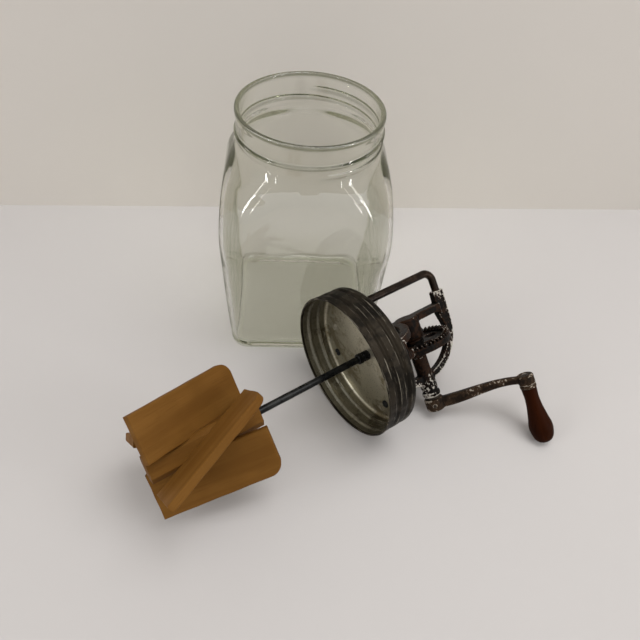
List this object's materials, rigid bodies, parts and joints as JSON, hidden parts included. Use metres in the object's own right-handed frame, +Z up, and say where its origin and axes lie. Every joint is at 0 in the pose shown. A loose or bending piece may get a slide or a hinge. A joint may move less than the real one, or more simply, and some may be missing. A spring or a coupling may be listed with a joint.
{
  "type": "glass butter churn",
  "caption": "Square glass jar churn with its screw lid taken off and laid beside it, carrying a cast gear frame, hand crank, rod handle and pitched wooden dasher.",
  "frame": {"origin": "centre of the jar's base, on the surface it stands on", "axes": "+Z up the jar's axis, out of its mouth; X and Y square to the jar's sides, with the taken-off head lying on the -Y side"},
  "size_m": [0.383, 0.3632, 0.2336],
  "materials": {
    "jar_glass": "clear pressed glass, faintly green",
    "tinned_steel": "tarnished tin plate",
    "black_iron": "worn black paint over iron",
    "worn_steel": "browned steel",
    "knob_wood": "dark glossy varnish",
    "dasher_wood": "bare worn wood"
  },
  "bodies": {
    "jar": {"glass_jar": "jar_glass"},
    "head": {"screw_lid": "tinned_steel", "gear_frame": "black_iron", "lid_screws": "worn_steel", "shaft_bushing": "worn_steel", "wire_handle": "worn_steel", "handle_nut": "worn_steel"},
    "crank": {"drive_gear": "black_iron", "crank_shaft": "worn_steel", "crank_washer": "worn_steel", "crank_arm": "black_iron", "knob_pin": "worn_steel", "gear_pin": "worn_steel", "crank_pin": "worn_steel"},
    "knob": {"knob": "knob_wood", "knob_ferrule": "black_iron"},
    "dasher": {"pinion": "black_iron", "pinion_pin": "worn_steel", "dasher_shaft": "worn_steel", "shaft_collar": "worn_steel", "collar_screw": "worn_steel", "dasher_hub": "dasher_wood", "hub_nail": "worn_steel", "dasher_blade_1": "dasher_wood", "dasher_blade_2": "dasher_wood", "dasher_blade_3": "dasher_wood", "dasher_blade_4": "dasher_wood"}
  },
  "joints": [
    {"name": "head_lift", "type": "slide", "parent": "jar", "child": "head", "axis": [0, -0.1736, 0.9848], "range_m": [0, 0.2]},
    {"name": "crank_turn", "type": "hinge", "parent": "head", "child": "crank", "pos_m": [0.10037, -0.10215, 0.0664], "axis": [0.3773, -0.5832, -0.7193], "continuous": true},
    {"name": "knob_spin", "type": "hinge", "parent": "crank", "child": "knob", "pos_m": [0.21971, -0.16233, 0.02481], "axis": [0.3773, -0.5832, -0.7193], "continuous": true},
    {"name": "dasher_turn", "type": "hinge", "parent": "head", "child": "dasher", "pos_m": [0.0332, -0.1456, 0.0664], "axis": [0.8396, 0.5432, 0], "continuous": true}
  ],
  "couplings": [
    {"joint": "dasher_turn", "follows": "crank_turn", "ratio": 4}
  ]
}
